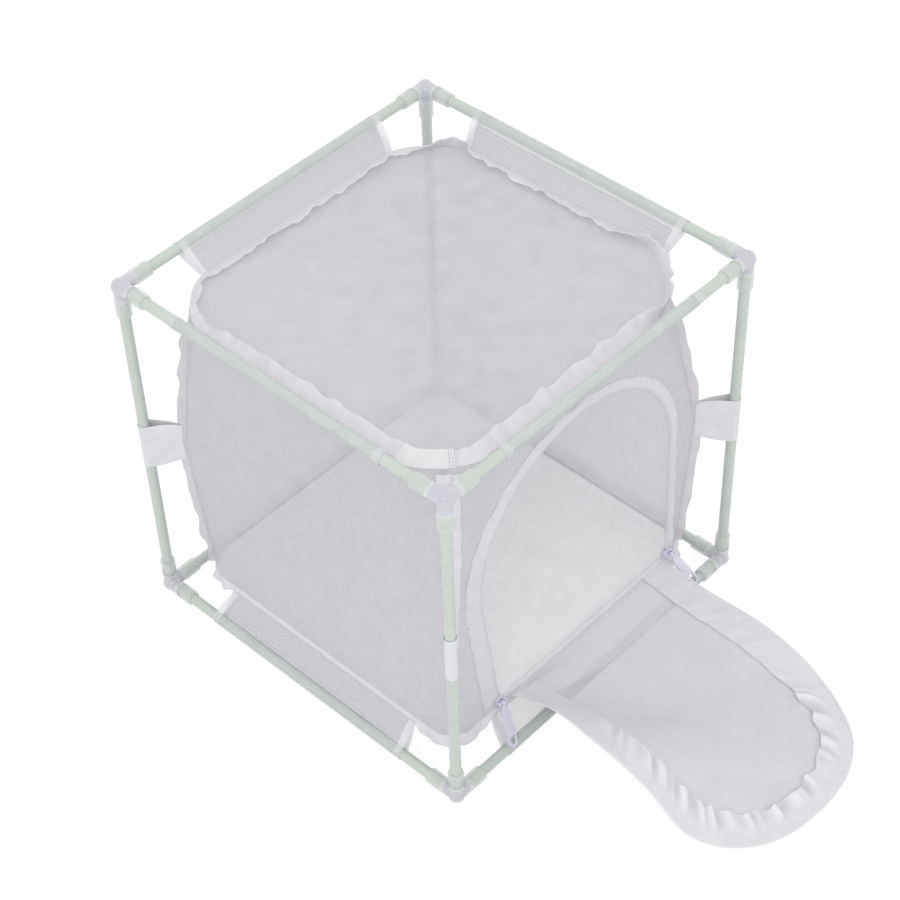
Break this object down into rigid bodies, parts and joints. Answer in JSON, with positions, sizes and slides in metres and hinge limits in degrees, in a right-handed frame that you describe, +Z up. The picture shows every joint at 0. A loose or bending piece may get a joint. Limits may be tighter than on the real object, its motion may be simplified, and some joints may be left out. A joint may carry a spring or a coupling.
{
  "type": "butterfly habitat cage",
  "caption": "Cube-shaped net cage hung inside a frame of plastic tubes and corner connectors, with an arched zip door folded open in front.",
  "frame": {"origin": "on the ground, below the middle of the bounding box of the whole cage with its door laid open", "axes": "+Z up; the doorway is on the -Y side and the open door lies towards -Y; +X is on the right of someone who looks at the doorway"},
  "size_m": [0.3126, 0.4986, 0.3126],
  "materials": {
    "tube_plastic": "pale mint, semi-gloss, slightly see-through",
    "connector_plastic": "clear milky plastic, glossy",
    "net": "fine see-through white mesh",
    "cloth": "thin white woven cloth",
    "tape": "white binding tape, gathered",
    "webbing": "white webbing",
    "coil": "white nylon coil",
    "pull_metal": "white lacquer with a lavender tint, glossy"
  },
  "bodies": {
    "cage": {"binding_back_left": "tape", "binding_back_right": "tape", "binding_bottom": "tape", "binding_front_left": "tape", "binding_front_right": "tape", "binding_top": "tape", "connector_bottom_back_left": "connector_plastic", "connector_bottom_back_right": "connector_plastic", "connector_bottom_front_left": "connector_plastic", "connector_bottom_front_right": "connector_plastic", "connector_top_back_left": "connector_plastic", "connector_top_back_right": "connector_plastic", "connector_top_front_left": "connector_plastic", "connector_top_front_right": "connector_plastic", "floor_cloth": "cloth", "net_roof": "net", "net_wall_back": "net", "net_wall_front": "net", "net_wall_left": "net", "net_wall_right": "net", "post_back_left": "tube_plastic", "post_back_right": "tube_plastic", "post_front_left": "tube_plastic", "post_front_right": "tube_plastic", "sleeve_bottom_back": "net", "sleeve_bottom_front": "net", "sleeve_bottom_left": "net", "sleeve_bottom_right": "net", "sleeve_top_back": "net", "sleeve_top_front": "net", "sleeve_top_left": "net", "sleeve_top_right": "net", "strap_back_left": "webbing", "strap_back_right": "webbing", "strap_front_left": "webbing", "strap_front_right": "webbing", "tube_bottom_back": "tube_plastic", "tube_bottom_front": "tube_plastic", "tube_bottom_left": "tube_plastic", "tube_bottom_right": "tube_plastic", "tube_top_back": "tube_plastic", "tube_top_front": "tube_plastic", "tube_top_left": "tube_plastic", "tube_top_right": "tube_plastic", "zip_coil": "coil", "zip_tape": "tape"},
    "door_near": {"door_mesh_near": "net", "door_hem_near": "cloth"},
    "door_middle": {"door_mesh_middle": "net", "door_hem_middle": "cloth"},
    "door_far": {"door_mesh_far": "net", "door_hem_far": "cloth"},
    "slider_left": {"slider_left": "pull_metal"},
    "slider_right": {"slider_right": "pull_metal"},
    "pull_left": {"pull_tab_left": "pull_metal"},
    "pull_right": {"pull_tab_right": "pull_metal"}
  },
  "joints": [
    {"name": "door_hinge", "type": "hinge", "parent": "cage", "child": "door_near", "pos_m": [0, -0.03791, 0.0303], "axis": [-1, 0, 0], "range_deg": [0, 99.3]},
    {"name": "door_lower_crease", "type": "hinge", "parent": "door_near", "child": "door_middle", "pos_m": [0, -0.1208, 0.01673], "axis": [0.766, -0.6343, -0.1039], "range_deg": [0, 40]},
    {"name": "door_upper_crease", "type": "hinge", "parent": "door_middle", "child": "door_far", "pos_m": [0.00622, -0.17107, 0.03544], "axis": [-0.8674, 0.436, 0.24], "range_deg": [0, 50]},
    {"name": "slider_left_travel", "type": "slide", "parent": "cage", "child": "slider_left", "axis": [-0.1361, 0, 0.9907], "range_m": [0, 0.109]},
    {"name": "pull_left_swing", "type": "hinge", "parent": "slider_left", "child": "pull_left", "pos_m": [-0.0853, -0.04281, 0.03609], "axis": [-0.9589, 0.2038, 0.1973], "range_deg": [0, 105]},
    {"name": "slider_right_travel", "type": "slide", "parent": "cage", "child": "slider_right", "axis": [-0.0311, 0, 0.9995], "range_m": [0, 0.125]},
    {"name": "pull_right_swing", "type": "hinge", "parent": "slider_right", "child": "pull_right", "pos_m": [0.10482, -0.04281, 0.0361], "axis": [-0.9589, -0.2038, -0.1973], "range_deg": [0, 105]}
  ],
  "couplings": [
    {"joint": "door_lower_crease", "follows": "door_hinge", "ratio": 0.40282},
    {"joint": "door_upper_crease", "follows": "door_hinge", "ratio": 0.50352}
  ]
}
